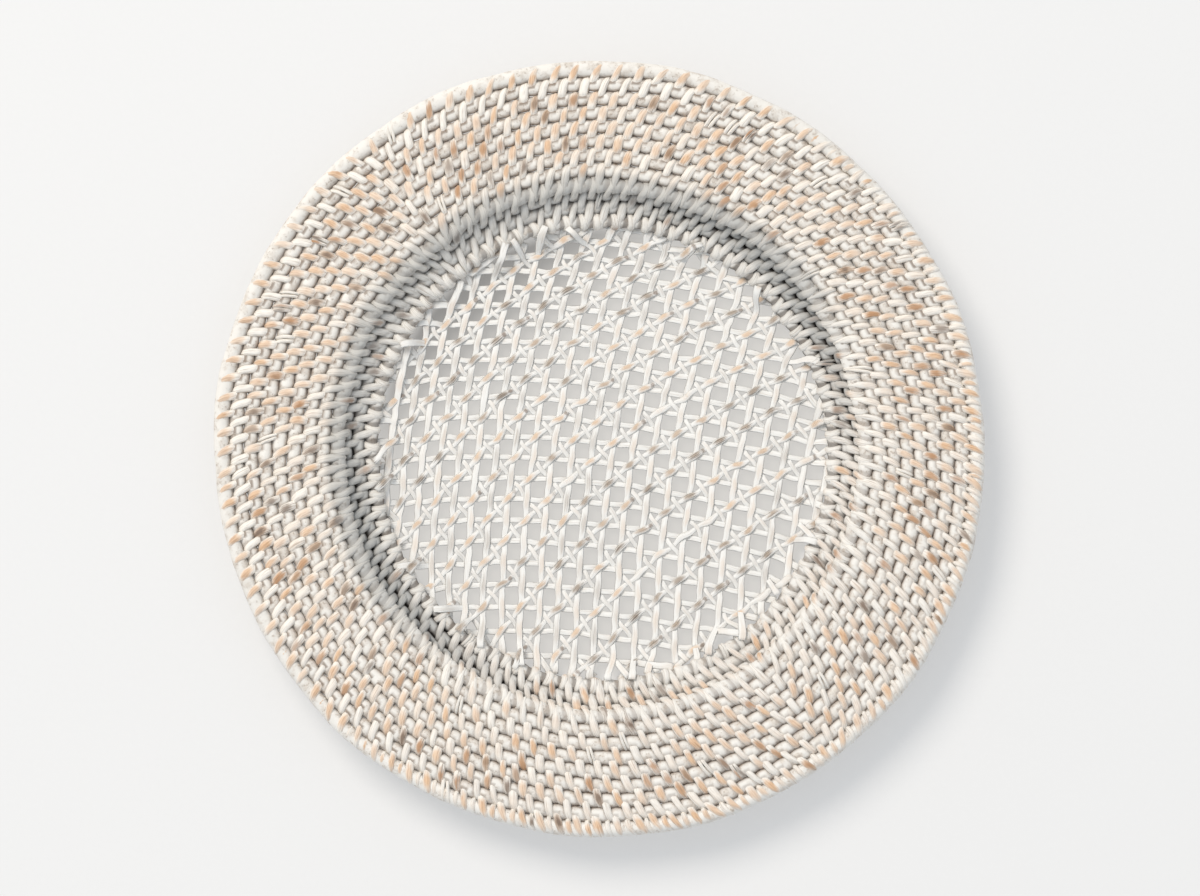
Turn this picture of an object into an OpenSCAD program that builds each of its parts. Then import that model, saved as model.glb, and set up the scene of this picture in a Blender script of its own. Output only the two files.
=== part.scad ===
// Charger plate: rattan hoops lashed row to row round an open cane centre.
// Sizes are in millimetres. The origin is on the table under the middle of the plate, and Z is up.

/* [Plate] */
// Outside diameter over the lashing
plate_d = 330; // [300:1:360]
// Distance between neighbouring rows of hoop
row_pitch = 6.1; // [5.6:0.1:6.6]
// Angle at which the rim rises towards its outer edge
rim_rise = 5; // [0:0.5:8]
// Angle at which the wall falls from the rim
rim_fall = 66; // [55:1:75]
// Angle at which the wall falls half way down
wall_fall = 31; // [20:1:40]
// Angle at which the wall runs out into the ledge
ledge_fall = 18; // [10:1:25]

/* [Lashing] */
// Width of a lashing strip
strip_w = 2.6; // [2:0.1:2.8]
// Thickness of a lashing strip
strip_t = 0.6; // [0.5:0.05:0.8]
// Depth worn flat under the strips that the plate stands on
foot_flat = 0.3; // [0.2:0.05:0.4]

/* [Cane centre] */
// Width of a cane strand
cane_w = 2.5; // [1.8:0.1:2.8]
// Thickness of a cane strand
cane_t = 0.6; // [0.4:0.05:0.7]
// Distance between upright strands
upright_pitch = 8.6; // [7.5:0.1:10]
// Distance between crosswise strands
crosswise_pitch = 8.4; // [7.5:0.1:10]
// Turn of the cane centre in the plate
cane_turn = -8; // [-20:1:20]

/* [Hidden] */
// Rows of hoop in the rim
rim_rows = 9;
// Layers of strands in the cane centre
cane_layers = 4;
// Room between a strip and the hoop inside it
seat = 0.05;
// Room between strips that pass in the gap between two hoops
strip_gap = 0.1;
// Room between neighbouring strips inside the ledge, where they crowd most
strip_room = 0.3;
// Room between the cane and the strips above and beside it
cane_room = 0.1;
// Sides of a circle where the drawing needs them
$fn = 72;
rattan_colour = [0.93, 0.91, 0.88];
strip_colour = [0.95, 0.90, 0.84];
cane_colour = [0.94, 0.93, 0.91];

// Half the thickness of a lashed row, and the radius of the bare hoop in it
row_r = (row_pitch - strip_gap) / 2;
hoop_r = row_r - strip_t - seat;

// Heights of the rows, from the strips worn flat on the table upwards
foot_z = row_r - foot_flat;
foot_drop = row_r + hoop_r + seat;
ledge_z = foot_z + foot_drop;
lower_wall_z = ledge_z + row_pitch * sin(ledge_fall);
upper_wall_z = lower_wall_z + row_pitch * sin(wall_fall);
rim_edge_z = upper_wall_z + row_pitch * sin(rim_fall);
rim_step = row_pitch * [cos(rim_rise), sin(rim_rise)];

// Middles of the rows in the section, as radius and height, from the outer edge inwards and down
rim_places = [
  for (i = [0 : rim_rows - 1])
    [plate_d / 2 - row_r - i * rim_step[0], rim_edge_z + (rim_rows - 1 - i) * rim_step[1]]
];
rim_edge = rim_places[rim_rows - 1];
upper_wall = [rim_edge[0] - row_pitch * cos(rim_fall), upper_wall_z];
lower_wall = [upper_wall[0] - row_pitch * cos(wall_fall), lower_wall_z];
ledge = [lower_wall[0] - row_pitch * cos(ledge_fall), ledge_z];
foot = [ledge[0] + row_pitch / 2, foot_z];
places = concat(rim_places, [upper_wall, lower_wall, ledge, foot]);

// Stitches round each row of lashing, as many as fit inside the ledge, where two rows of them alternate
stitches = floor(PI * (ledge[0] - row_r) / (strip_w + strip_room));

// The cane lies under the ledge and ends short of the strips that hold the foot
foot_run = foot - ledge;
foot_way = foot_run / norm(foot_run);
cane_top = ledge_z - row_r - cane_room;
strip_face = ledge + row_r * [foot_way[1], -foot_way[0]];
cane_reach = strip_face[0] + (strip_face[1] - cane_top) * foot_way[0] / -foot_way[1] - cane_room;
cane_diagonal = norm([upright_pitch, crosswise_pitch]);
diagonal_pitch = 2 * upright_pitch * crosswise_pitch / cane_diagonal;
diagonal_turn = atan2(crosswise_pitch, upright_pitch);

HOOPS = concat(
  [for (i = [1 : rim_rows]) str("rim_hoop_", i)],
  ["upper_wall_hoop", "lower_wall_hoop", "ledge_hoop", "foot_hoop"]
);
LASHINGS = concat(
  [for (i = [1 : rim_rows - 1]) str("rim_lashing_", i)],
  ["step_lashing", "wall_lashing", "ledge_lashing", "foot_lashing"]
);

// One closed ring of round rattan
module hoop(place) {
  color(rattan_colour)
    rotate_extrude()
      translate(place)
        circle(r = hoop_r);
}

// The outline of a band of radius r round two rows that lie a given run apart
module round_both(run, r) {
  circle(r = r);
  translate([run, 0])
    circle(r = r);
  translate([0, -r])
    square([run, 2 * r]);
}

// One stitch: a closed loop of strip round two rows, cut flat at the table
module stitch(a, b) {
  run = norm(b - a);
  rotate([90, 0, 0])
    linear_extrude(height = strip_w, center = true)
      difference() {
        translate(a)
          rotate(atan2(b[1] - a[1], b[0] - a[0]))
            difference() {
              round_both(run, row_r);
              round_both(run, hoop_r + seat);
            }
        translate([a[0] - plate_d / 2, -plate_d])
          square(plate_d);
      }
}

// One stitch of the edge: a closed loop of strip round the outermost row alone
module edge_stitch() {
  rotate([90, 0, 0])
    linear_extrude(height = strip_w, center = true)
      translate(rim_places[0])
        difference() {
          circle(r = row_r);
          circle(r = hoop_r + seat);
        }
}

// The stitches of the edge, each between two of those that tie the outermost row to the next
module edge_lashing() {
  color(strip_colour)
    for (k = [0 : stitches - 1])
      rotate(k * 360 / stitches)
        edge_stitch();
}

// The stitches that tie row i to the next, half a stitch on from those of the row before
module lashing(i) {
  color(strip_colour)
    for (k = [0 : stitches - 1])
      rotate((k + ((i + 1) % 2) / 2) * 360 / stitches)
        stitch(places[i], places[i + 1]);
}

// Straight strands at one pitch in one of the four layers, each cut where it reaches the ledge
module strands(turn, pitch, shift, layer) {
  count = floor(cane_reach / pitch);
  color(cane_colour)
    for (m = [-count : count]) {
      off = (m + shift) * pitch;
      edge = abs(off) + cane_w / 2;
      if (edge < cane_reach - pitch / 2) {
        half_run = sqrt(cane_reach * cane_reach - edge * edge);
        rotate(cane_turn + turn)
          translate([-half_run, off - cane_w / 2, cane_top - (cane_layers - layer) * cane_t])
            cube([2 * half_run, cane_w, cane_t]);
      }
    }
}

module cane_crosswise() {
  strands(0, crosswise_pitch, 0, 0);
}

module cane_uprights() {
  strands(90, upright_pitch, 0, 1);
}

module cane_falling_diagonals() {
  strands(-diagonal_turn, diagonal_pitch, 0.5, 2);
}

module cane_rising_diagonals() {
  strands(diagonal_turn, diagonal_pitch, 0, 3);
}

for (i = [0 : len(HOOPS) - 1])
  hoop(places[i]);
edge_lashing();
for (i = [0 : len(LASHINGS) - 1])
  lashing(i);
cane_crosswise();
cane_uprights();
cane_falling_diagonals();
cane_rising_diagonals();
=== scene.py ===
"""Whitewashed rattan charger plate: hoops lashed row to row round an open cane centre."""
import bisect
import copy
import math
import random

import bmesh
import bpy
from mathutils import Matrix, Vector, noise


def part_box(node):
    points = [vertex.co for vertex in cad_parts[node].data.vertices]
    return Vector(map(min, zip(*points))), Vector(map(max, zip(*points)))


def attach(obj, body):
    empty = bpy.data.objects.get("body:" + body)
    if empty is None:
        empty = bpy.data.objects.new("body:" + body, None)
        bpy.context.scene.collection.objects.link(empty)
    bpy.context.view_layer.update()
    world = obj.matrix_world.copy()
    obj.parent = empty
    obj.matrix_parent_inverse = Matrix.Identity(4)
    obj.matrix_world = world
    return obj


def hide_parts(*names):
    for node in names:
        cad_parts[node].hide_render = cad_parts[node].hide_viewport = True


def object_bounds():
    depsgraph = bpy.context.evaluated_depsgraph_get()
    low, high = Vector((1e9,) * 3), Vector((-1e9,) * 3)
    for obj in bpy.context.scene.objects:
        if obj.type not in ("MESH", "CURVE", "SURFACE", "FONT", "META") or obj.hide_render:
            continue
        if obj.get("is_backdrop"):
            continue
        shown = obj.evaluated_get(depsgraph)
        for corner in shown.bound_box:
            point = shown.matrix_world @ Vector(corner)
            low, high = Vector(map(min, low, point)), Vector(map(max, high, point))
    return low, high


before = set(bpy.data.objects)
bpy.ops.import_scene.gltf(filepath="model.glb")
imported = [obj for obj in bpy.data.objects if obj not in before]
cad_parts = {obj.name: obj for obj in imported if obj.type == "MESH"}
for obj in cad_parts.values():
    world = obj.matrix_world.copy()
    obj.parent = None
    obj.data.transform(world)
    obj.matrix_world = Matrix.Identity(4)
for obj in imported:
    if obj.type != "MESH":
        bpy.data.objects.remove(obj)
cad_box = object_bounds()
scene = bpy.context.scene

MM = 0.001
TURN = 2 * math.pi
SKYWARD = Vector((0, 0, 1))
LOWER_RIGHT = Vector((0.6, -0.8, 0))


def clip(value, low=0.0, high=1.0):
    """Keep a value between two limits."""
    return min(max(value, low), high)


def ease(value, low, high):
    """Rise smoothly from 0 at low to 1 at high."""
    share = clip((value - low) / (high - low))
    return share * share * (3 - 2 * share)


def between(low, high, share):
    """Go straight from low to high."""
    return low + (high - low) * share


# Camera, almost straight above and a little towards the lower right
photo_width = 1200
plate_pixels = 774
lens = 200
sensor = 36
lean = math.radians(6)
aim = Vector((0.0006, -0.0003, 0.022))
plate_width = cad_box[1].x - cad_box[0].x
camera_far = plate_width * photo_width / plate_pixels * lens / sensor
camera_back = math.sin(lean) * LOWER_RIGHT + math.cos(lean) * SKYWARD
camera_right = Vector((0, 1, 0)).cross(camera_back).normalized()
camera_up = camera_back.cross(camera_right)
camera_data = bpy.data.cameras.new("camera")
camera_data.lens = lens
camera_data.sensor_width = sensor
camera = bpy.data.objects.new("camera", camera_data)
camera_turn = Matrix((camera_right, camera_up, camera_back)).transposed().to_4x4()
camera.matrix_world = Matrix.Translation(aim + camera_far * camera_back) @ camera_turn
scene.collection.objects.link(camera)
scene.camera = camera


# Finishes
def tint(red, green, blue):
    """A colour as a picture holds it, turned into the light that it reflects."""
    light = [(part / 255 + 0.055) / 1.055 for part in (red, green, blue)]
    return tuple(part ** 2.4 for part in light) + (1.0,)


class Wire:
    """A value on its way through a finish, which plain sums work on."""

    def __init__(self, finish, socket):
        self.finish = finish
        self.socket = socket

    def __add__(self, other):
        return self.finish.sum("ADD", self, other)

    def __sub__(self, other):
        return self.finish.sum("SUBTRACT", self, other)

    def __rsub__(self, other):
        return self.finish.sum("SUBTRACT", other, self)

    def __mul__(self, other):
        return self.finish.sum("MULTIPLY", self, other)

    def __abs__(self):
        return self.finish.sum("ABSOLUTE", self, 0.0)

    def __round__(self):
        return self.finish.sum("ROUND", self, 0.0)

    __radd__ = __add__
    __rmul__ = __mul__


class Finish:
    """One material, with the few kinds of node that the finishes here are made of."""

    def __init__(self, name):
        self.material = bpy.data.materials.new(name)
        self.material.use_nodes = True
        self.tree = self.material.node_tree
        self.shader = self.tree.nodes["Principled BSDF"]

    def feed(self, socket, value):
        """Link a wire to a socket, or set the socket to a plain value."""
        if isinstance(value, Wire):
            self.tree.links.new(value.socket, socket)
        else:
            socket.default_value = value

    def node(self, kind, settings, sockets, out=0):
        """Make a node, set it up, feed its sockets and hand on one of its outputs."""
        made = self.tree.nodes.new(kind)
        for name, value in settings.items():
            setattr(made, name, value)
        for name, value in sockets.items():
            self.feed(made.inputs[name], value)
        return Wire(self, made.outputs[out])

    def sum(self, operation, first, second):
        """One step of arithmetic."""
        return self.node("ShaderNodeMath", {"operation": operation}, {0: first, 1: second})

    def ease(self, value, low, high):
        """Rise smoothly from 0 at low to 1 at high."""
        settings = {"interpolation_type": "SMOOTHSTEP"}
        return self.node("ShaderNodeMapRange", settings, {0: value, 1: low, 2: high, 3: 0.0, 4: 1.0})

    def mix(self, first, second, share):
        """Go from one colour to another."""
        return self.node("ShaderNodeMix", {"data_type": "RGBA"}, {0: share, 6: first, 7: second}, 2)

    def place(self, x, y, z):
        """Three values as one place."""
        return self.node("ShaderNodeCombineXYZ", {}, {0: x, 1: y, 2: z})

    def noise(self, where, scale, detail=2.0):
        """Soft patches, from 0 to 1."""
        sockets = {"Vector": where, "Scale": scale, "Detail": detail}
        return self.node("ShaderNodeTexNoise", {}, sockets)

    def luck(self, where):
        """A value from 0 to 1 that has nothing to do with those beside it."""
        return self.node("ShaderNodeTexWhiteNoise", {}, {"Vector": where})

    def length(self, x, y):
        """How far a place in the flat is from the origin."""
        return self.node("ShaderNodeVectorMath", {"operation": "LENGTH"}, {0: self.place(x, y, 0.0)}, 1)

    def mark(self, name):
        """A value that the vertices of a piece carry."""
        return self.node("ShaderNodeAttribute", {"attribute_name": name}, {}, 2)

    def flat(self, name):
        """How far along and across a piece its own UV map says a place is."""
        wire = self.node("ShaderNodeUVMap", {"uv_map": name}, {})
        return [self.node("ShaderNodeSeparateXYZ", {}, {0: wire}, part) for part in (0, 1)]

    def solid(self):
        """A place in the space of the piece."""
        return self.node("ShaderNodeTexCoord", {}, {}, 3)

    def surface(self, colour, roughness, height, depth):
        """Finish the material with its colour, roughness and the relief of its grain."""
        self.feed(self.shader.inputs["Base Color"], colour)
        self.feed(self.shader.inputs["Roughness"], roughness)
        bump = self.node("ShaderNodeBump", {}, {"Strength": 1.0, "Distance": depth, "Height": height})
        self.feed(self.shader.inputs["Normal"], bump)
        self.shader.inputs["Specular IOR Level"].default_value = SHEEN
        return self.material


SHEEN = 0.25
RATTAN_GRAIN = 0.25 * MM
CANE_GRAIN = 0.2 * MM
CANE_WHITE = tint(243, 242, 239)
CORE_WHITE = tint(233, 231, 227)
COOL_WHITE = tint(235, 233, 229)
CREAM = tint(252, 247, 239)
CHALK = tint(210, 199, 187)
GRIME = tint(178, 165, 152)
PEACH = tint(232, 195, 159)
PALE_PEACH = tint(226, 201, 177)
TAN = tint(204, 161, 123)
RUST = tint(188, 145, 110)
BROWN = tint(132, 114, 101)
CREASE_SHADOW = tint(108, 84, 64)
SHADE_GREY = tint(146, 149, 149)
RAW_AND_SHADE = tint(74, 66, 60)
PIT_SHADOW = tint(34, 31, 29)


def strip_finish():
    """Split rattan: white paint rubbed through to peach on the crown and stained in places, with painted
    shade: grey where the row lies in shade and dark where the strip dives into a gap.
    """
    finish = Finish("whitewashed_strip")
    along, across = finish.flat("strip")
    chance = finish.mark("chance")
    middle = finish.mark("middle")
    stained = finish.mark("brown")
    grain = finish.noise(finish.place(along * 2.2, across * 7.0 + chance * 31.0, chance * 57.0), 1.6, 4.0)
    fibre = finish.noise(finish.place(along * 1.2, across * 17.0, chance * 37.0), 1.0, 2.0)
    ragged = finish.noise(finish.place(along * 4.0, across * 2.5, chance * 83.0), 1.3, 3.0)
    # The cream mark is the paint's own tone and, by angle, painted light that is brightest on the upper left
    paint = finish.mix(COOL_WHITE, CREAM, finish.mark("cream"))
    paint = finish.mix(paint, CHALK, finish.ease(grain, 0.42, 0.78) * 0.6)
    paint = finish.mix(paint, GRIME, finish.ease(fibre, 0.58, 0.7) * 0.6)
    reach = finish.length((along - middle) * 2.7, (across - 0.52) * 1.9) + (ragged - 0.5) * 0.8
    rubbed = (1.0 - finish.ease(reach, 0.2, 0.95)) * finish.mark("wear")
    bare = finish.mix(PEACH, TAN, finish.ease(grain, 0.38, 0.7))
    colour = finish.mix(paint, bare, rubbed)
    soiled = 1.0 - finish.ease(reach + (fibre - 0.5) * 1.2, 0.1, 0.8)
    stain = finish.mix(RUST, BROWN, finish.ease(chance, 0.4, 0.6))
    colour = finish.mix(colour, stain, soiled * stained)
    colour = finish.mix(colour, BROWN, finish.ease(fibre, 0.56, 0.62) * stained * 0.6)
    # Painted shade: grey where the row lies in shade
    colour = finish.mix(colour, SHADE_GREY, finish.mark("painted_shade"))
    # Painted shade: dark where the strip dives into the gap between rows
    colour = finish.mix(colour, RAW_AND_SHADE, finish.mark("gap"))
    return finish.surface(colour, 0.72 - grain * 0.2, grain, RATTAN_GRAIN)


def core_finish():
    """Round rattan: thick mottled paint, thin and warm in places, with painted shade: brown in creases, dark
    in gaps with near-black pits, and grey where the row lies in shade.
    """
    finish = Finish("whitewashed_core")
    where = finish.solid()
    along, around = finish.flat("hoop")
    mottle = finish.noise(where, 260.0, 4.0)
    speck = finish.noise(where, 900.0, 3.0)
    grain = finish.noise(finish.place(along * 420.0, around * 9.0, 0.0), 1.0, 3.0)
    # The cream mark is the paint's own tone and, by angle, painted light that is brightest on the upper left
    paint = finish.mix(CORE_WHITE, CREAM, finish.mark("cream"))
    paint = finish.mix(paint, CHALK, finish.ease(mottle, 0.42, 0.72) * 0.7)
    thin = finish.ease(speck, 0.52, 0.7) * finish.ease(mottle, 0.42, 0.6)
    colour = finish.mix(paint, GRIME, thin * 0.7)
    # Painted shade: brown in the creases beside strips, round tucked ends and in the gaps
    colour = finish.mix(colour, CREASE_SHADOW, finish.mark("crease_shade") * 0.85)
    # Painted shade: grey where the row lies in shade
    colour = finish.mix(colour, SHADE_GREY, finish.mark("painted_shade"))
    # Painted shade: dark in the gaps between rows
    gap = finish.mark("gap")
    # Painted shadow: near-black pits deep in the gaps
    pit_shadows = finish.ease(finish.noise(where, 210.0, 2.0), 0.47, 0.56) * finish.ease(gap, 0.6, 0.9)
    colour = finish.mix(finish.mix(colour, RAW_AND_SHADE, gap), PIT_SHADOW, pit_shadows * 0.9)
    return finish.surface(colour, 0.8 - speck * 0.15, grain + mottle, RATTAN_GRAIN)


def cane_finish():
    """Flat cane: smooth white paint, rubbed to peach, grey or brown where a strand lies on top."""
    finish = Finish("whitewashed_cane")
    along, across = finish.flat("strand")
    chance = finish.mark("chance")
    grain = finish.noise(finish.place(along * 0.9, across * 7.0, chance * 71.0), 2.0, 3.0)
    ragged = finish.noise(finish.place(along * 3.0, across * 2.0, chance * 29.0), 1.5, 2.0)
    paint = finish.mix(CANE_WHITE, CHALK, finish.ease(grain, 0.48, 0.8) * 0.7)
    wear = finish.mark("wear")
    knot = round(along)
    kind = finish.luck(finish.place(knot, chance * 97.0, 0.0)) * 0.45 + chance * 0.55
    reach = finish.length((along - knot) * 2.8, (across - 0.58) * 1.9) + (ragged - 0.5) * 0.9
    rubbed = (1.0 - finish.ease(reach, 0.15, 0.9)) * wear * finish.ease(kind, 0.1, 0.35)
    bare = finish.mix(PALE_PEACH, GRIME, finish.ease(kind, 0.5, 0.65))
    colour = finish.mix(paint, bare, rubbed)
    fibre = finish.noise(finish.place(along * 0.8, across * 15.0, chance * 43.0), 1.0, 2.0)
    frayed = finish.ease(fibre, 0.52, 0.62) * wear * finish.ease(kind, 0.5, 0.8)
    colour = finish.mix(colour, RAW_AND_SHADE, frayed * (1.0 - finish.ease(abs(along - knot), 0.15, 0.35)) * 0.8)
    span = round(along + 0.5)
    reach = finish.length((along - span + 0.68) * 6.0, (across - 0.5) * 1.3) + (ragged - 0.5) * 0.8
    picked = finish.luck(finish.place(span, chance * 53.0, 7.0))
    dark = finish.ease(picked, 0.68, 0.8) * finish.ease(wear, 0.8, 0.95)
    colour = finish.mix(colour, BROWN, (1.0 - finish.ease(reach, 0.2, 0.7)) * dark * 0.8)
    return finish.surface(colour, 0.6 - grain * 0.15, grain, CANE_GRAIN)


TABLE_PALE = tint(192, 192, 192)
TABLE_SPECK = tint(190, 190, 190)
TABLE_UNDER = tint(84, 83, 82)
OPEN_GLOW = (0.325, 0.325, 0.325, 1.0)
UNDER_GLOW = (0.58, 0.566, 0.542, 1.0)
SHADE_GLOW = (0.25, 0.244, 0.236, 1.0)
UNDER_EDGE = (93 * MM, 100 * MM)
SHADE_EDGE = (45 * MM, 98 * MM)


def table_finish():
    """A plain pale table top that glows a little, so that shadows on it and under the cane stay soft."""
    finish = Finish("pale_table")
    where = finish.solid()
    speck = finish.noise(where, 400.0, 2.0)
    colour = finish.mix(TABLE_PALE, TABLE_SPECK, speck)
    away = finish.node("ShaderNodeVectorMath", {"operation": "LENGTH"}, {0: where}, 1)
    under = 1.0 - finish.ease(away, *UNDER_EDGE)
    colour = finish.mix(colour, TABLE_UNDER, under)
    glow = finish.mix(OPEN_GLOW, UNDER_GLOW, under)
    sockets = {0: where, 1: tuple(-LOWER_RIGHT)}
    upper_left = finish.node("ShaderNodeVectorMath", {"operation": "DOT_PRODUCT"}, sockets, 1)
    shade = under * finish.ease(upper_left, *SHADE_EDGE)
    glow = finish.mix(glow, SHADE_GLOW, shade)
    finish.feed(finish.shader.inputs["Emission Color"], glow)
    finish.shader.inputs["Emission Strength"].default_value = 1.0
    return finish.surface(colour, 0.9, speck, 0.02 * MM)


CORE = core_finish()
STRIP = strip_finish()
CANE = cane_finish()


# Tools that the pieces share
def keep(name, bm, material, node):
    """Turn a finished bmesh into a piece that stands for a CAD node."""
    bmesh.ops.recalc_face_normals(bm, faces=bm.faces)
    mesh = bpy.data.meshes.new(name)
    bm.to_mesh(mesh)
    bm.free()
    mesh.shade_smooth()
    mesh.materials.append(material)
    piece = bpy.data.objects.new(name, mesh)
    scene.collection.objects.link(piece)
    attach(piece, "root")
    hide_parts(node)
    return piece


def flat_sheet(bm, stations, sides):
    """A grid that is about to be rolled up: its vertices, each with its place along and across."""
    made = bmesh.ops.create_grid(bm, x_segments=stations, y_segments=sides, size=0.5)["verts"]
    return [(vert, vert.co.x + 0.5, vert.co.y + 0.5) for vert in made]


TOUCH = 0.001 * MM


def close(bm, verts):
    """Join the edges of a rolled grid where they meet."""
    bmesh.ops.remove_doubles(bm, verts=verts, dist=TOUCH)


# The rows, as the CAD model places them, from the outer edge inwards and down
HOOPS = [f"rim_hoop_{i}" for i in range(1, 10)]
HOOPS += ["upper_wall_hoop", "lower_wall_hoop", "ledge_hoop", "foot_hoop"]
WALL = HOOPS.index("upper_wall_hoop")
LEDGE = HOOPS.index("ledge_hoop")

# Two seams, where the slant of the stitches changes over, cross the plate at this angle and opposite it
SEAM = math.radians(-53)

# How much painted shade each row gets at the sides and on the upper left, and how creamy its paint is
ROW_SIDE_SHADE = {"upper_wall_hoop": 0.74, "lower_wall_hoop": 0.66, "ledge_hoop": 0.18, "foot_hoop": 0.2}
ROW_SHADE = {"rim_hoop_1": 0.1, "rim_hoop_8": 0.04, "rim_hoop_9": 0.52}
ROW_CREAM = [1.0] * 8 + [0.75, 0.35, 0.35, 0.45, 0.4]

# How far the wall and the panel are off centre, how far out of round the plate is, and how its rows waver
PANEL_SHIFT = Vector((0.75, -1.1)) * MM
OVAL = 0.0085
OVAL_WAY = math.radians(-60)
WAVER = 0.22 * MM
ROW_WAVE = 14 * MM


def place(out, angle, up, shift):
    """A point at a radius, angle and height, on a plate that is a little longer one way and wavers."""
    row = out / ROW_WAVE
    wave = math.sin(7 * angle + row) + math.sin(12 * angle - 1.3 * row) + math.sin(19 * angle + 1.7 * row)
    out *= 1 + OVAL * math.cos(2 * (angle - OVAL_WAY))
    out += WAVER * wave
    return Vector((out * math.cos(angle) + shift.x, out * math.sin(angle) + shift.y, max(up, 0)))


class Row:
    """One hoop: the radius and height of its middle, how far it is off centre, and how much painted shade it
    gets.
    """

    def __init__(self, node):
        low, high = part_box(node)
        self.node = node
        self.thick = (high.z - low.z) / 2
        self.radius = high.x - self.thick
        self.height = (high.z + low.z) / 2
        self.shift = PANEL_SHIFT * min(HOOPS.index(node) / WALL, 1)
        self.painted_shade = ROW_SIDE_SHADE.get(node, 0)
        self.shade = ROW_SHADE.get(node, 0)
        self.strips = []
        self.tails = []

    def far(self, other):
        """How far the middle of another row is, in the section."""
        return math.hypot(self.radius - other.radius, self.height - other.height)

    def way(self, other):
        """The angle in the section at which another row lies."""
        return math.atan2(other.height - self.height, other.radius - self.radius)

    def grey(self, angle):
        """How grey the row is: painted shade, greyest at the sides and least on the lower right where the
        light falls, with more on the upper left.
        """
        facing = math.cos(angle - SEAM)
        share = 1 - 0.95 * ease(facing, 0.0, 0.8) - 0.58 * ease(-facing, 0.3, 0.95)
        return self.painted_shade * share + self.shade * ease(-facing, -0.35, 0.15)


rows = [Row(node) for node in HOOPS]


# Lashings
class Binding:
    """One lashing: its stitches' number and width, how often they are worn or stained, and where along."""

    def __init__(self, node, count, width, worn, stained, middle):
        self.node = node
        self.count = count
        self.half = width / 2 * MM
        self.worn = worn
        self.stained = stained
        self.middle = middle


BINDINGS = [
    Binding("rim_lashing_1", 116, 3.9, 1.0, 0.06, 0.66),
    Binding("rim_lashing_2", 115, 3.8, 0.15, 0.06, 0.66),
    Binding("rim_lashing_3", 113, 3.8, 1.05, 0.2, 0.7),
    Binding("rim_lashing_4", 110, 3.7, 0.62, 0.36, 0.68),
    Binding("rim_lashing_5", 105, 3.8, 0.68, 0.2, 0.68),
    Binding("rim_lashing_6", 102, 3.8, 0.68, 0.24, 0.68),
    Binding("rim_lashing_7", 100, 3.8, 0.35, 0.14, 0.68),
    Binding("rim_lashing_8", 98, 3.7, 0.26, 0.08, 0.68),
    Binding("step_lashing", 95, 3.6, 0.25, 0.06, 0.66),
    Binding("wall_lashing", 92, 3.7, 0.25, 0.08, 0.66),
    Binding("ledge_lashing", 92, 3.5, 0.25, 0.12, 0.66),
    Binding("foot_lashing", 92, 3.6, 0.2, 0.1, 0.66),
]
EDGE_WIDTH = 2.8
EDGE_SHOWS = math.radians(-35)
NARROW_SIDE = math.radians(-25)
NARROWING = 0.06
SPLIT_SHARE = 0.02

# How far strips lean on either side of the seams, and row by row, and how soon the lean changes over
LEAN_RIGHT = -math.tan(math.radians(17))
LEAN_LEFT = math.tan(math.radians(16))
LEANS = [1.3, 1.15] + [0.92] * 10
CHANGE_OVER = math.sin(math.radians(2.5))

# Where between the ends of two stitches the next row's starts, and how wide a space gets two of them
PHASE = 0.36
WIDE = 1.6

# Lashings worn no more often than this are worn only towards the lower right
SELDOM_WORN = 0.25

# What every vertex of a strip knows about its stitch
MARKS = ("wear", "middle", "brown", "chance", "cream")


def creamy_and_lit(angle):
    """How creamy and bright the paint is made round the plate: painted light, most on the upper left towards
    the lamp, least on the lower right.
    """
    return 1 - 0.45 * math.cos(angle - SEAM)


def right_side(angle):
    """1 on the upper right of the two seams across the plate, -1 on the lower left."""
    return clip(math.sin(angle - SEAM) / CHANGE_OVER, -1, 1)


def lean_at(angle):
    """How far a strip leans, sideways for each step outwards."""
    return between(LEAN_LEFT, LEAN_RIGHT, (right_side(angle) + 1) / 2)


class Stitch:
    """One loop of strip: where it lies, how it leans and how its paint has worn."""

    def __init__(self, angle, binding, cream, dice):
        side = right_side(angle)
        warm = ease(-math.cos(angle - SEAM), 0.2, 0.9) + 0.4 * math.sin(5 * angle + 0.4)
        narrow = 1 - NARROWING * ease(math.cos(angle - NARROW_SIDE), 0.3, 0.9)
        self.angle = angle
        self.half = binding.half * dice.uniform(0.8, 1.14) * narrow
        self.slant = lean_at(angle) + dice.gauss(0, 0.07)
        self.bow = dice.gauss(0.5, 0.2) * MM * -side
        lit = 1.0 if binding.worn > SELDOM_WORN else ease(math.cos(angle - SEAM), -0.2, 0.8)
        worn = dice.random() < binding.worn * (0.95 + 0.35 * warm)
        self.wear = lit * (dice.uniform(0.5, 0.95) if worn else dice.uniform(0.0, 0.3))
        stained = dice.random() < binding.stained
        self.brown = dice.uniform(0.6, 1.0) if stained else 0.0
        self.middle = binding.middle + dice.gauss(0, 0.04)
        self.chance = dice.random()
        self.cream = cream * dice.uniform(0.6, 1.2) * creamy_and_lit(angle)
        self.rise = 1.0


def crossing(stitch, outer, inner, on_outer):
    """The angle at which a stitch passes over the crown of its outer or inner row."""
    shift = stitch.slant * outer.far(inner) / 2
    if on_outer:
        return stitch.angle + shift / outer.radius
    return stitch.angle - shift / inner.radius


def even_out(angles, rounds):
    """Let neighbours along a row even out the distances between them."""
    angles.sort()
    for _ in range(rounds):
        before = [angles[-1] - TURN] + angles[:-1]
        after = angles[1:] + [angles[0] + TURN]
        angles[:] = [0.7 * here + 0.15 * (low + high) for low, here, high in zip(before, angles, after)]


def room(angles, k):
    """How far it is from the place before one along a row to the place after it."""
    return (angles[(k + 1) % len(angles)] - angles[k - 1]) % TURN


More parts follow.
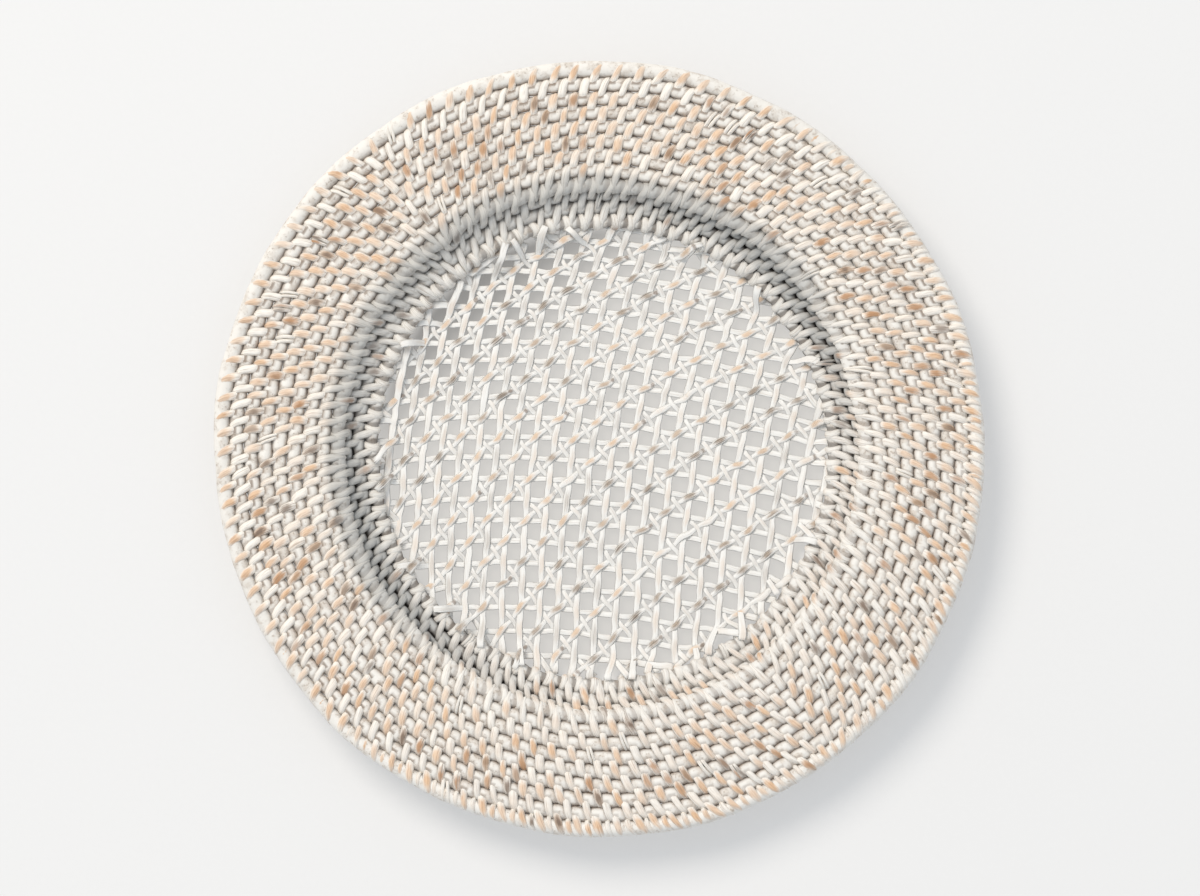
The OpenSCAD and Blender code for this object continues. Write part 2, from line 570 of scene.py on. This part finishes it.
def first_heads(count):
    """Where the outermost stitches start, crowded where the maker worked tightest."""
    heads = []
    for k in range(count):
        even = TURN * k / count
        crowding = 0.055 * math.cos(even) + 0.028 * math.sin(2 * even) + 0.016 * math.sin(4 * even)
        heads.append(even - crowding)
    return heads


def next_heads(tails, count):
    """Where stitches start along a row: each beside the end of one that comes over the row before."""
    tails = sorted(tails)
    heads = []
    for tail, later in zip(tails, tails[1:] + [tails[0] + TURN]):
        share = 0.5 - right_side(tail) * (0.5 - PHASE)
        heads.append(between(tail, later, share))
        if later - tail > WIDE * TURN / count:
            heads.append(between(tail, later, share / 2))
    while len(heads) > count:
        heads.pop(min(range(len(heads)), key=lambda k: room(heads, k)))
        even_out(heads, 4)
    return heads


def lay_out(dice):
    """The stitches of all the lashings, from the outer edge inwards."""
    layout = []
    heads = first_heads(BINDINGS[0].count)
    for index, binding in enumerate(BINDINGS):
        outer, inner = rows[index], rows[index + 1]
        stitches = []
        for head in heads:
            start = head + dice.gauss(0, 0.03) * TURN / binding.count
            stitch = Stitch(start, binding, ROW_CREAM[index], dice)
            stitch.slant *= LEANS[index]
            stitch.angle -= stitch.slant * outer.far(inner) / 2 / outer.radius
            stitches.append(stitch)
        layout.append(stitches)
        tails = [crossing(stitch, outer, inner, False) % TURN for stitch in stitches]
        if index + 1 < len(BINDINGS):
            heads = next_heads(tails, BINDINGS[index + 1].count)
    return layout


def spread(layout):
    """Push stitches apart along the rows where those of two lashings would overlap."""
    for _ in range(10):
        for r in range(1, len(rows) - 1):
            met = []
            for stitch in layout[r - 1]:
                met.append((crossing(stitch, rows[r - 1], rows[r], False) % TURN, stitch))
            for stitch in layout[r]:
                met.append((crossing(stitch, rows[r], rows[r + 1], True) % TURN, stitch))
            met.sort(key=lambda item: item[0])
            for (angle, first), (later, second) in zip(met, met[1:] + met[:1]):
                gap = (later - angle) % TURN * rows[r].radius
                short = (first.half + second.half) * 0.7 - gap
                if short > 0:
                    first.angle -= short / 2 / rows[r].radius
                    second.angle += short / 2 / rows[r].radius


def edge_stitches(long_stitches, dice):
    """The short stitches round the outermost row, one between each two long ones."""
    binding = Binding("edge_lashing", len(long_stitches), EDGE_WIDTH, 0.45, 0.08, 0.5)
    angles = sorted(crossing(stitch, rows[0], rows[1], True) % TURN for stitch in long_stitches)
    made = []
    for angle, later in zip(angles, angles[1:] + [angles[0] + TURN]):
        stitch = Stitch((angle + later) / 2, binding, ROW_CREAM[0], dice)
        free = (later - angle) * rows[0].radius - 2 * BINDINGS[0].half
        stitch.half = min(stitch.half, free * 0.42)
        stitch.rise = between(0.78, 1.05, ease(math.cos(stitch.angle - EDGE_SHOWS), -0.3, 0.5))
        made.append(stitch)
    return made


def split(stitches, dice):
    """Some of the strips have split along their grain into two thin ones."""
    made = []
    for stitch in stitches:
        if dice.random() > SPLIT_SHARE:
            made.append(stitch)
            continue
        for side in (-1, 1):
            half = copy.copy(stitch)
            half.half = stitch.half * 0.45
            half.angle = stitch.angle + side * 0.5 * stitch.half / rows[0].radius
            half.wear = 0.0
            half.slant = stitch.slant + side * dice.uniform(0, 0.1)
            half.chance = dice.random()
            made.append(half)
    return made


SEED = 11
dice = random.Random(SEED)
layout = lay_out(dice)
spread(layout)
layout = [split(stitches, dice) for stitches in layout]
edge_layout = edge_stitches(layout[0], dice)
for index, stitches in enumerate(layout):
    outer, inner = rows[index], rows[index + 1]
    for stitch in stitches:
        outer.strips.append((crossing(stitch, outer, inner, True) % TURN, stitch.half))
        inner.tails.append((crossing(stitch, outer, inner, False) % TURN, stitch.half * 0.85))
rows[-1].strips = [(stitch.angle % TURN, stitch.half) for stitch in layout[-1]]


# How the inner end of a stitch dives into the next row: how far short of its middle, and how deep
DIVES = [(0.0, 0.34), (0.0, 0.36)] + [(0.08, 0.4)] * 5
DIVES += [(0.0, 0.1), (0.0, 0.25), (0.0, 0.2)] + [(0.0, 0.1)] * 2
DIVE_RUN = 0.38
DIVE_UNDER = 0.2


# Hoops: round rattan thick with paint, fuller where no strip binds it, with painted shade, brown or dark, in
# the gaps between rows and beside the strips
HOOP_SIDES = 24
HOOP_STEP = 0.55 * MM
PAINT = 0.46 * MM
EDGE_PAINT = 0.6 * MM
EDGE_BUILD = 0.4 * MM
SWELL = 0.44 * MM
LUMP = 2.4 * MM
STRIP_SHADE = 0.8 * MM
TAIL_SHADE = 0.5 * MM
# Where painted shade begins in the gaps between rows, on the rim and on the wall
RIM_GAP = 0.5
WALL_GAP = 0.3
UNDER_LEDGE = math.radians(195)


class Bound:
    """The strips that cross a row on one side of it."""

    def __init__(self, row, strips):
        self.radius = row.radius
        self.strips = sorted(strips)
        self.angles = [angle for angle, _ in self.strips]

    def away(self, angle):
        """How far a place is from the edge of the nearest strip."""
        spot = bisect.bisect(self.angles, angle % TURN)
        best = TURN * self.radius
        for k in (spot - 1, spot % len(self.angles)):
            where, half = self.strips[k]
            best = min(best, abs((angle - where + math.pi) % TURN - math.pi) * self.radius - half)
        return best


def in_gap(index, turn):
    """How deep a side of a row lies in the gaps to the rows beside it, or under the ledge: where painted
    shade goes.
    """
    deep = 0.0
    start = WALL_GAP if index >= WALL else RIM_GAP
    for other in (index - 1, index + 1):
        if 0 <= other < len(rows):
            facing = math.cos(turn - rows[index].way(rows[other]))
            deep = max(deep, ease(facing, start, 1.0))
    if index == LEDGE:
        deep = max(deep, 0.8 * ease(math.cos(turn - UNDER_LEDGE), 0.5, 0.95))
    return deep


def make_hoop(index, dice):
    """One closed ring of round rattan."""
    row = rows[index]
    own = Bound(row, row.strips)
    tails = Bound(row, row.tails or row.strips)
    stations = int(TURN * row.radius / HOOP_STEP)
    drift = [dice.uniform(0, TURN), dice.uniform(0, TURN)]
    paint = EDGE_PAINT if index == 0 else PAINT
    tip = 0.0
    if index:
        tip = DIVES[index - 1][0] * row.far(rows[index - 1]) / (row.thick + PAINT)
    bm = bmesh.new()
    uv = bm.loops.layers.uv.new("hoop")
    marks = {mark: bm.verts.layers.float.new(mark) for mark in ("gap", "cream", "painted_shade", "crease_shade")}
    for vert, along, around in flat_sheet(bm, stations, HOOP_SIDES):
        angle = TURN * along
        turn = TURN * around
        spot = angle - lean_at(angle) * row.thick * math.cos(turn) / row.radius
        bare = own.away(spot)
        rough = 0.15 * math.sin(37 * angle + drift[0]) + 0.15 * math.sin(61 * angle + drift[1])
        lump = math.sin(math.pi / 2 * clip((bare + 0.4 * MM) / LUMP))
        tail = tails.away(spot)
        outward = math.cos(turn)
        facing = math.cos(angle - SEAM)
        thick = row.thick + paint + ((lump if index else 0.5) + rough) * SWELL
        if index == 0:
            thick += EDGE_BUILD * ease(-facing, 0.0, 0.8)
        out = row.radius + thick * outward
        up = row.height + thick * math.sin(turn)
        vert.co = place(out, angle, up, row.shift)
        # Painted shade: dark crescents round the tucked ends of the strips from the row before, less on the
        # lower right, and along this row's own strips
        tucked = (1 - ease(tail, 0.0, TAIL_SHADE)) * ease(outward, tip - 0.3, tip) if index else 0
        tucked *= 1 - ease(outward, tip + 0.2, tip + 0.5)
        tucked *= 0.85 - 0.45 * ease(facing, 0.2, 0.8)
        hidden = 1 - ease(bare, -0.1 * MM, STRIP_SHADE) if index else 0
        deep = in_gap(index, turn)
        # On the wall, painted shade in the gaps and beside the strips, least on the upper left and lower
        # right
        if index >= WALL:
            vert[marks["gap"]] = max(deep, 0.55 * hidden) * (1.0 - 0.55 * ease(abs(facing), 0.5, 1.0))
            deep = 0
        # On the rim, painted shade in the gaps, most on the upper left and lower right
        deep *= 0.42 + 0.36 * ease(abs(facing), 0.2, 0.8)
        vert[marks["crease_shade"]] = max(hidden * 0.42, deep, tucked)
        vert[marks["cream"]] = ROW_CREAM[index] * 0.4 * creamy_and_lit(angle)
        # Painted shade: grey at the sides and on the upper left
        vert[marks["painted_shade"]] = row.grey(angle)
        for loop in vert.link_loops:
            loop[uv].uv = (along * TURN * row.radius, around)
    close(bm, bm.verts)
    return keep(row.node + "_rattan", bm, CORE, row.node)


for index in range(len(rows)):
    make_hoop(index, dice)


# Strips: closed loops of split rattan, domed across and drawn in where they dive between the rows
STRIP_ACROSS = [(-1.0, 0.2), (-0.74, 0.72), (0.0, 1.0), (0.74, 0.72), (1.0, 0.2)]
STRIP_RISE = 1.7 * MM
SEAT = 0.05 * MM
TAPER = 0.45
NOMINAL_RUN = rows[0].far(rows[1])
RUN_STEPS = 7
TUCK = 0.8
OUTER_END_SHADE = 0.9


def loop_path(steps):
    """The stations of a loop: how far along the run, and the angle round the row there."""
    path = [(0.0, math.pi * (1 - k / 6)) for k in range(4)]
    path += [(k / steps, math.pi / 2) for k in range(1, steps)]
    path += [(1.0, math.pi * (0.5 - k / 6)) for k in range(0 if steps else 1, 4)]
    top = len(path) - 1
    path += [(1.0, -math.pi / 4), (1.0, -math.pi / 2)]
    path += [(0.0, -math.pi / 2), (0.0, -3 * math.pi / 4)][0 if steps else 1:]
    return path, top


def stitch_pattern(name, run, steps):
    """One stitch laid out straight: x along the run, y across in half widths, z up from the run."""
    path, top = loop_path(steps)
    thick = rows[0].thick
    stations = len(path)
    sides = len(STRIP_ACROSS)
    top_length = run + math.pi * thick
    bm = bmesh.new()
    uv = bm.loops.layers.uv.new("strip")
    for mark in MARKS + ("gap", "painted_shade"):
        bm.verts.layers.float.new(mark)
    for vert, along, around in flat_sheet(bm, stations, sides):
        station = round(along * stations)
        spot, turn = path[station % stations]
        across, rise = STRIP_ACROSS[round(around * sides) % sides]
        reach = thick + SEAT + rise * STRIP_RISE
        vert.co = (spot * run + reach * math.cos(turn), across, reach * math.sin(turn))
        passed = ((math.pi - turn) * thick + spot * run) / top_length
        if station > top:
            passed = 1.0 + (station - top) / (stations - top)
        for loop in vert.link_loops:
            loop[uv].uv = (passed, around * sides / (sides - 1))
    close(bm, bm.verts)
    pattern = bpy.data.meshes.new(name)
    bm.to_mesh(pattern)
    bm.free()
    return pattern


class Groove:
    """The place of one lashing in the section: its two rows, and whether its outer end shows."""

    def __init__(self, outer, inner, outer_shows, dive):
        self.end, self.dive = dive
        self.outer = outer
        self.inner = inner
        self.run = outer.far(inner)
        self.tip = outer.thick + SEAT + STRIP_RISE
        self.out = (outer.radius - inner.radius) / self.run if self.run else 1.0
        self.up = (outer.height - inner.height) / self.run if self.run else 0.0
        self.outer_end_shade = 0.0 if outer_shows else OUTER_END_SHADE
        self.tuck = 1.0 if outer is rows[LEDGE] else TUCK


def lay_stitch(verts, layers, stitch, groove, pattern_run):
    """Wrap a copy of the pattern round its rows."""
    for vert in verts:
        x, y, z = vert.co
        if pattern_run:
            x += (groove.run - pattern_run) * clip(x / pattern_run)
        else:
            x *= stitch.rise
            z *= stitch.rise
        share = (x + groove.tip) / (groove.run + 2 * groove.tip)
        width = stitch.half
        if groove.run and z > 0:
            width *= 1 - TAPER * ease(0.4 - x / groove.run, 0, 0.6)
        side = y * width + stitch.slant * (x - groove.run / 2) + stitch.bow * (2 * share - 1) ** 2
        if groove.run:
            depth = groove.dive if z >= 0 else min(groove.dive, DIVE_UNDER)
            sunk = 1 - depth * ease(groove.end + DIVE_RUN - x / groove.run, 0, DIVE_RUN)
            z *= sunk
            x *= sunk if x < 0 else 1
        x = min(x, groove.run) + groove.tuck * max(x - groove.run, 0)
        out = groove.inner.radius + groove.out * x - groove.up * z
        up = groove.inner.height + groove.up * x + groove.out * z
        angle = stitch.angle + side / out
        step = clip(x / groove.run) if groove.run else 0
        shift = groove.inner.shift.lerp(groove.outer.shift, step)
        vert.co = place(out, angle, up, shift)
        # Painted shade, blended from the inner row's to the outer row's
        toward_outer = ease(step, 0.5, 1.2)
        vert[layers["painted_shade"]] = between(groove.inner.grey(angle), groove.outer.grey(angle), toward_outer)
        # Painted shade where the outer end dives into a gap
        vert[layers["gap"]] = groove.outer_end_shade * ease(x - groove.run, 0.8 * groove.tip, groove.tip)
        for mark in MARKS:
            vert[layers[mark]] = getattr(stitch, mark)


def make_lashing(node, stitches, groove, pattern, pattern_run):
    """All the stitches of one lashing."""
    bm = bmesh.new()
    layers = {mark: bm.verts.layers.float.new(mark) for mark in MARKS + ("gap", "painted_shade")}
    bm.loops.layers.uv.new("strip")
    size = len(pattern.vertices)
    for stitch in stitches:
        bm.from_mesh(pattern)
        bm.verts.ensure_lookup_table()
        lay_stitch(bm.verts[-size:], layers, stitch, groove, pattern_run)
    return keep(node + "_strip", bm, STRIP, node)


# The lashings whose outer ends show: at the edge, at the step down from the rim, and under the ledge
SHOWING = (0, WALL - 1, len(BINDINGS) - 1)
edge_pattern = stitch_pattern("edge_stitch", 0.0, 0)
long_pattern = stitch_pattern("long_stitch", NOMINAL_RUN, RUN_STEPS)
make_lashing("edge_lashing", edge_layout, Groove(rows[0], rows[0], True, (0, 0)), edge_pattern, 0.0)
for index, binding in enumerate(BINDINGS):
    groove = Groove(rows[index], rows[index + 1], index in SHOWING, DIVES[index])
    make_lashing(binding.node, layout[index], groove, long_pattern, NOMINAL_RUN)


# Cane centre: four sets of strands on a lattice that the weaver's hand has let drift
CANE_ACROSS = [(-1.0, 0.2), (-0.72, 0.8), (0.0, 1.0), (0.72, 0.8), (1.0, 0.2), (0.0, -0.5)]
CANE_SPANS = 4
CANE_LAYER = 0.55 * MM
CELL_STEPS = 8
CELLS = 16

# The lattice in pixels, across and down: its start, its steps from upright to upright and from crosswise
# strand to crosswise strand, and how the steps drift
LATTICE_X = (10.7, 20.0, -3.26, 0.11, -0.07, 0.13)
LATTICE_Y = (-9.3, 2.5, 19.7, 0.19, -0.06, 0.18)

# A pixel covers a little more of the cane, which lies farther from the camera than the rim
FARTHER = 1.006
PIXEL = plate_width / plate_pixels * FARTHER
STRAY = 1.6
STRAY_RUN = 0.43

cane_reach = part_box("cane_uprights")[1].y
cane_middle = (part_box("cane_crosswise")[0].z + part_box("cane_rising_diagonals")[1].z) / 2


def lattice(i, j):
    """The place of a point of the lattice, counted in upright and crosswise strands."""
    terms = (1, i, j, i * i, i * j, j * j)
    x = sum(share * term for share, term in zip(LATTICE_X, terms))
    y = sum(share * term for share, term in zip(LATTICE_Y, terms))
    x += STRAY * noise.noise(Vector((STRAY_RUN * i, STRAY_RUN * j, 0.5)))
    y += STRAY * noise.noise(Vector((STRAY_RUN * i, STRAY_RUN * j, 7.5)))
    return Vector((x, -y)) * PIXEL + PANEL_SHIFT


def off_centre(spot):
    """How far a place is from the middle of the panel."""
    return (spot - PANEL_SHIFT).length


class Weave:
    """One set of strands: their size, sway and wear, and where and how high strand m lies at step s."""

    def __init__(self, name, node, half, sway, leaf, rise, wear, where, lift, mark):
        self.name = name
        self.node = node
        self.half = half * MM
        self.sway = sway * MM
        self.leaf = leaf
        self.rise = rise * MM
        self.wear = wear
        self.where = where
        self.lift = lift
        self.mark = mark


# Half width, sway, swelling, rise and wear, then strand m's place, height and count of crossings at step s
WEAVES = [
    Weave(
        "crosswise_cane", "cane_crosswise", 1.25, 0.5, 0.05, 0.25, 0.15,
        lambda m, s: (s, m), lambda m, s: -0.5 - 0.5 * math.cos(math.pi * (s + m)),
        lambda m, s: (s + m) / 2,
    ),
    Weave(
        "upright_cane", "cane_uprights", 1.35, 0.5, 0.08, 0.25, 0.4,
        lambda m, s: (m, s), lambda m, s: 0.5 - 0.5 * math.cos(math.pi * (s + m)),
        lambda m, s: (s + m - 1) / 2,
    ),
    Weave(
        "falling_cane", "cane_falling_diagonals", 1.12, 1.1, -0.1, 0.3, 0.2,
        lambda m, s: (s, s + 2 * m + 1), lambda m, s: -0.35 - 0.8 * math.cos(TURN * s),
        lambda m, s: s + 0.5,
    ),
    Weave(
        "rising_cane", "cane_rising_diagonals", 1.2, 1.3, 0.18, 0.5, 1.0,
        lambda m, s: (s, -s + 2 * m), lambda m, s: 0.35 + 0.8 * math.cos(TURN * s),
        lambda m, s: s,
    ),
]
END_BEND = 10 * MM
END_SPREAD = 0.25
OVER_SHARE = 0.25
OVER_RISE = 8.2
LOOK_AHEAD = 0.05


class End:
    """How the end of a strand bends where it meets the ledge: most go under it, some over it."""

    def __init__(self, may_rise, dice):
        over = may_rise and dice.random() < OVER_SHARE
        self.rise = (OVER_RISE if over else dice.uniform(1.2, 3.5)) * MM
        self.reach = cane_reach + (dice.uniform(0.5, 3.0) * MM if over else 0)
        self.side = dice.gauss(0, 1.0) * MM


def make_strands(weave, dice):
    """One set of strands, each cut where it passes under the ledge or ends over it."""
    bm = bmesh.new()
    uv = bm.loops.layers.uv.new("strand")
    chance = bm.verts.layers.float.new("chance")
    wear = bm.verts.layers.float.new("wear")
    sides = len(CANE_ACROSS)
    steps = range(-CELLS * 2 * CELL_STEPS, CELLS * 2 * CELL_STEPS)
    for m in range(-CELLS, CELLS + 1):
        luck = dice.random()
        inside = []
        middle = min(steps, key=lambda k: off_centre(lattice(*weave.where(m, k / CELL_STEPS))))
        may_rise = off_centre(lattice(*weave.where(m, middle / CELL_STEPS))) < 0.7 * cane_reach
        ends = (End(may_rise, dice), End(may_rise, dice))
        for k in steps:
            if off_centre(lattice(*weave.where(m, k / CELL_STEPS))) < ends[k > middle].reach:
                inside.append(k)
        if len(inside) < 2 * CELL_STEPS:
            continue
        places = flat_sheet(bm, len(inside) - 1, sides)
        for vert, along, around in places:
            s = between(inside[0], inside[-1], along) / CELL_STEPS
            across, rise = CANE_ACROSS[round(around * sides) % sides]
            here = lattice(*weave.where(m, s))
            way = (lattice(*weave.where(m, s + LOOK_AHEAD)) - here).normalized()
            end = ends[round(along)]
            bent = ease(off_centre(here), cane_reach - END_BEND, cane_reach - 1.5 * MM)
            broad = 1 + 0.15 * noise.noise(Vector((s * 0.8, luck * 90, 0)))
            broad += weave.leaf * math.cos(TURN * weave.mark(m, s)) + END_SPREAD * bent
            sway = weave.sway * noise.noise(Vector((s * 1.9, luck * 90, 4)))
            side = Vector((-way.y, way.x)) * (across * weave.half * broad + sway + bent * end.side)
            up = cane_middle + weave.lift(m, s) * CANE_LAYER + rise * weave.rise + bent * end.rise
            vert.co = (here.x + side.x, here.y + side.y, up)
            vert[chance] = luck
            vert[wear] = weave.wear
            for loop in vert.link_loops:
                loop[uv].uv = (weave.mark(m, s), around * sides / CANE_SPANS)
        close(bm, [vert for vert, _, _ in places])
    bmesh.ops.holes_fill(bm, edges=bm.edges, sides=sides)
    return keep(weave.name, bm, CANE, weave.node)


for weave in WEAVES:
    make_strands(weave, dice)


# Table and light
TABLE_HALF = 2.0
SKY = (0.9, 0.95, 1.0, 1.0)
SKY_STRENGTH = 0.68
WINDOW_COLOUR = (1.0, 0.92, 0.82)
WINDOW_SIZE = 2.1
WINDOW_WATTS = 100
WINDOW_FAR = 4
WINDOW_UP = 1.4

bm = bmesh.new()
bmesh.ops.create_grid(bm, x_segments=1, y_segments=1, size=TABLE_HALF)
table_mesh = bpy.data.meshes.new("table")
bm.to_mesh(table_mesh)
bm.free()
table_mesh.materials.append(table_finish())
table = bpy.data.objects.new("table", table_mesh)
scene.collection.objects.link(table)
table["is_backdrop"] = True

world = bpy.data.worlds.new("studio")
world.use_nodes = True
sky = world.node_tree.nodes["Background"]
sky.inputs["Color"].default_value = SKY
sky.inputs["Strength"].default_value = SKY_STRENGTH
scene.world = world

window_data = bpy.data.lights.new("window", "AREA")
window_data.shape = "DISK"
window_data.size = WINDOW_SIZE
window_data.energy = WINDOW_WATTS
window_data.color = WINDOW_COLOUR
window = bpy.data.objects.new("window", window_data)
window_way = (WINDOW_UP * SKYWARD - LOWER_RIGHT).normalized()
window.location = window_way * WINDOW_FAR
window.rotation_mode = "QUATERNION"
window.rotation_quaternion = window_way.to_track_quat("Z", "Y")
scene.collection.objects.link(window)

scene.view_settings.view_transform = "Standard"

sizes = {"cad": [list(corner) for corner in cad_box], "visual": [list(corner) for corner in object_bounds()]}
